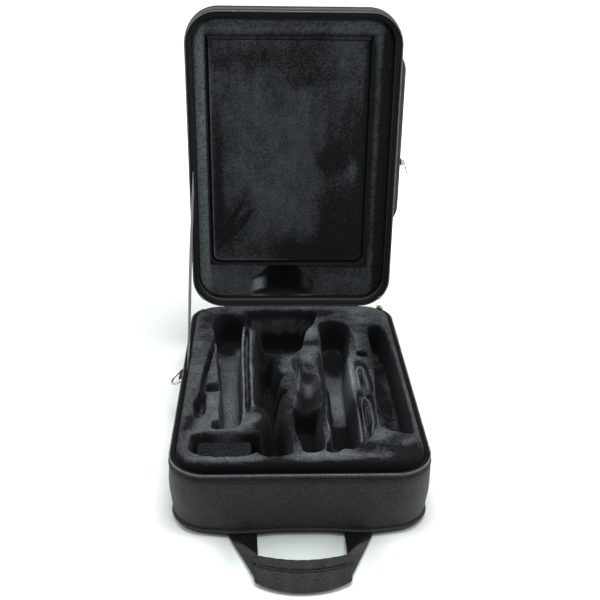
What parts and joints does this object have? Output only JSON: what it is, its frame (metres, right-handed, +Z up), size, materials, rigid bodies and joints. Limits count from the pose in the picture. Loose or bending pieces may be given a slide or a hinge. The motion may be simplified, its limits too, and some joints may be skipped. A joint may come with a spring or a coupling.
{
  "type": "clarinet case",
  "caption": "Soft-sided zip-up clarinet case standing open: velvet tray with shaped wells, hinged lid with document flap and back pocket, and a carrying handle.",
  "frame": {"origin": "centre of the base's flat underside, which rests on the table", "axes": "+Z up; +Y from the handle at the front towards the hinge at the back; +X to the right of a person facing the open lid"},
  "size_m": [0.2876, 0.5065, 0.433],
  "materials": {
    "black_nylon": "fine woven black nylon",
    "zipper_tape": "woven black zipper tape",
    "zipper_chain": "dull black moulded teeth",
    "charcoal_velvet": "charcoal plush velvet with a soft grey sheen",
    "shell_foam": "stiff moulded foam, hidden",
    "handle_webbing": "dark grey woven webbing",
    "grey_ribbon": "plain grey ribbon",
    "nickel": "worn nickel plate",
    "hook_and_loop": "black hook and loop"
  },
  "bodies": {
    "base": {"base_shell": "shell_foam", "base_bottom_cover": "black_nylon", "base_side_cover": "black_nylon", "base_piping": "black_nylon", "base_zipper_tape": "zipper_tape", "base_zipper_chain": "zipper_chain", "instrument_tray": "charcoal_velvet", "accessory_pad": "charcoal_velvet", "hinge_leaf_base": "black_nylon", "main_slider": "nickel", "stay_ribbon": "grey_ribbon", "d_ring_tab": "handle_webbing"},
    "lid": {"lid_shell": "shell_foam", "lid_outer_cover": "black_nylon", "lid_side_cover": "black_nylon", "lid_piping": "black_nylon", "lid_zipper_tape": "zipper_tape", "lid_zipper_chain": "zipper_chain", "lid_lining_frame": "charcoal_velvet", "compartment_lining": "charcoal_velvet", "ledge_loop_strip": "hook_and_loop", "flap_hinge_strip": "charcoal_velvet", "hinge_leaf_lid": "black_nylon", "pocket_gusset": "black_nylon", "pocket_zipper_chain": "zipper_chain", "pocket_panel": "black_nylon"},
    "flap": {"document_flap": "charcoal_velvet", "flap_edge_cord": "charcoal_velvet", "flap_hook_strip": "hook_and_loop"},
    "handle": {"handle_webbing": "handle_webbing", "handle_grip": "handle_webbing"},
    "ring": {"d_ring": "nickel"},
    "main_pull": {"main_pull_tab": "nickel"},
    "pocket_slider": {"pocket_slider": "nickel"},
    "pocket_pull": {"pocket_pull_tab": "nickel"}
  },
  "joints": [
    {"name": "lid_hinge", "type": "hinge", "parent": "base", "child": "lid", "pos_m": [0, 0.183, 0.0655], "axis": [1, 0, 0], "range_deg": [0, 90], "deforming": ["stay_ribbon"]},
    {"name": "flap_hinge", "type": "hinge", "parent": "lid", "child": "flap", "pos_m": [-0.0055, 0.1995, 0.3989], "axis": [1, 0, 0], "range_deg": [-100, 0]},
    {"name": "handle_swing", "type": "hinge", "parent": "base", "child": "handle", "pos_m": [0, -0.185, 0.002], "axis": [1, 0, 0], "range_deg": [-52, 0]},
    {"name": "d_ring_swing", "type": "hinge", "parent": "base", "child": "ring", "pos_m": [-0.1281, 0.03, 0.054], "axis": [0, 1, 0], "range_deg": [-44, 110]},
    {"name": "main_pull_swing", "type": "hinge", "parent": "base", "child": "main_pull", "pos_m": [0.11457, 0.17529, 0.0695], "axis": [0.7395, -0.6731, 0], "range_deg": [-6, 120]},
    {"name": "pocket_slider_slide", "type": "slide", "parent": "lid", "child": "pocket_slider", "axis": [0, 0, 1], "range_m": [-0.0523, 0.1065]},
    {"name": "pocket_pull_swing", "type": "hinge", "parent": "pocket_slider", "child": "pocket_pull", "pos_m": [0.14126, 0.2316, 0.24557], "axis": [0, 1, 0], "range_deg": [-130, 14]}
  ]
}
